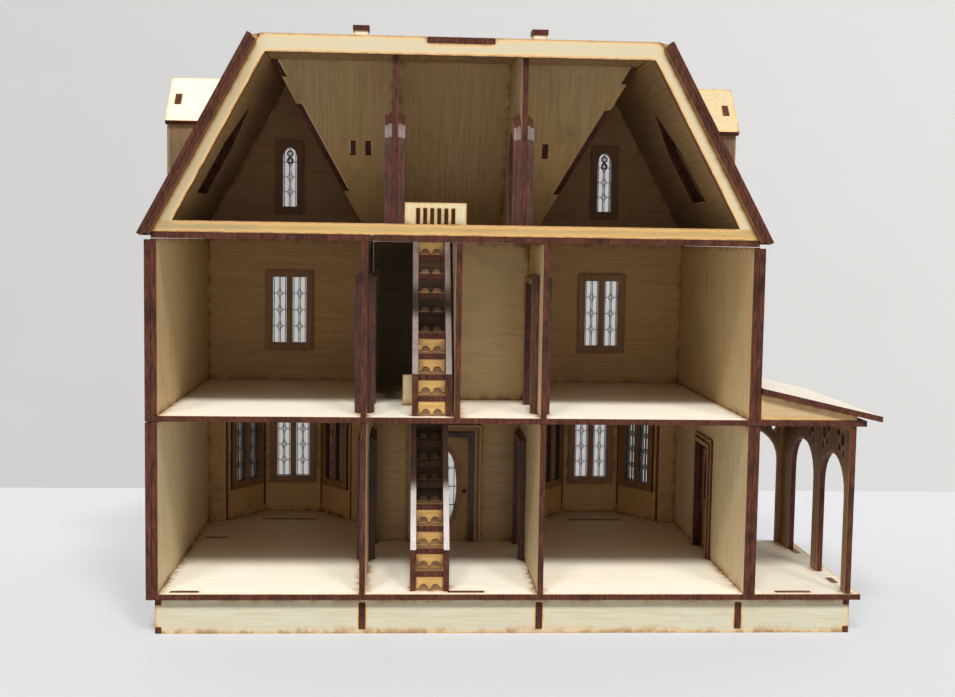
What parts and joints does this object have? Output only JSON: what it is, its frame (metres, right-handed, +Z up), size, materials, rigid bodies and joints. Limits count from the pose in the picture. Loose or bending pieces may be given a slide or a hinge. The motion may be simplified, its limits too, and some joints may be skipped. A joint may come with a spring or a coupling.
{
  "type": "wooden dollhouse",
  "caption": "Open-backed laser-cut plywood dollhouse with attic, gabled wings with bays, side porch, stairs and hinged doors.",
  "frame": {"origin": "bottom centre of the whole house's bounding box, on the surface it stands on", "axes": "+X along the house towards the side porch, +Y from the open back to the closed front, +Z up"},
  "size_m": [0.4402, 0.251, 0.3745],
  "materials": {
    "partition": "satin",
    "facade": "satin",
    "chimney": "satin",
    "door": "satin",
    "dormer": "satin",
    "floor": "satin",
    "foundation": "satin, laser-cut edges",
    "porch": "satin",
    "stair": "satin",
    "roof": "satin",
    "siding": "satin",
    "wall": "satin",
    "trim": "satin, laser-cut edges",
    "glazing": "clear acetate with fine printed leading"
  },
  "bodies": {
    "house": {"bath_back_wall": "partition", "bath_side_wall": "partition", "bay_left_front": "facade", "bay_left_inner": "facade", "bay_left_outer": "facade", "bay_right_front": "facade", "bay_right_inner": "facade", "bay_right_outer": "facade", "chimney_left": "chimney", "chimney_right": "chimney", "dormer_roof_left": "dormer", "dormer_roof_right": "dormer", "dormer_walls_left": "dormer", "dormer_walls_right": "dormer", "floor_attic": "floor", "floor_ground": "floor", "floor_second": "floor", "foundation_back": "foundation", "foundation_front": "foundation", "foundation_left": "foundation", "foundation_porch": "foundation", "foundation_rib_1": "foundation", "foundation_rib_2": "foundation", "foundation_rib_3": "foundation", "hall_front": "facade", "partition_left_attic": "partition", "partition_left_lower": "partition", "partition_left_upper": "partition", "partition_right_attic": "partition", "partition_right_lower": "partition", "partition_right_upper": "partition", "porch_arcade_front": "porch", "porch_arcade_side": "porch", "porch_roof": "porch", "porch_roof_ends": "porch", "railing_attic": "stair", "railing_second": "stair", "roof_back_frame": "roof", "roof_deck": "roof", "roof_front_slope": "roof", "roof_panel_left": "roof", "roof_panel_right": "roof", "roof_skin_left": "roof", "roof_skin_right": "roof", "roof_valley_left": "roof", "roof_valley_right": "roof", "siding_left_lower": "siding", "siding_left_upper": "siding", "siding_right_lower": "siding", "siding_right_upper": "siding", "stair_lower": "stair", "stair_upper": "stair", "wall_left_lower": "wall", "wall_left_upper": "wall", "wall_right_lower": "wall", "wall_right_upper": "wall", "wing_front_left": "facade", "wing_front_right": "facade"},
    "front_door": {"door_front": "door"},
    "porch_door": {"door_porch": "door"}
  },
  "joints": [
    {"name": "front_door_hinge", "type": "hinge", "parent": "house", "child": "front_door", "pos_m": [-0.05365, 0.0219, 0.0621], "axis": [0, 0, 1], "range_deg": [0, 86]},
    {"name": "porch_door_hinge", "type": "hinge", "parent": "house", "child": "porch_door", "pos_m": [0.14665, 0.0035, 0.0621], "axis": [0, 0, 1], "range_deg": [0, 86]}
  ]
}
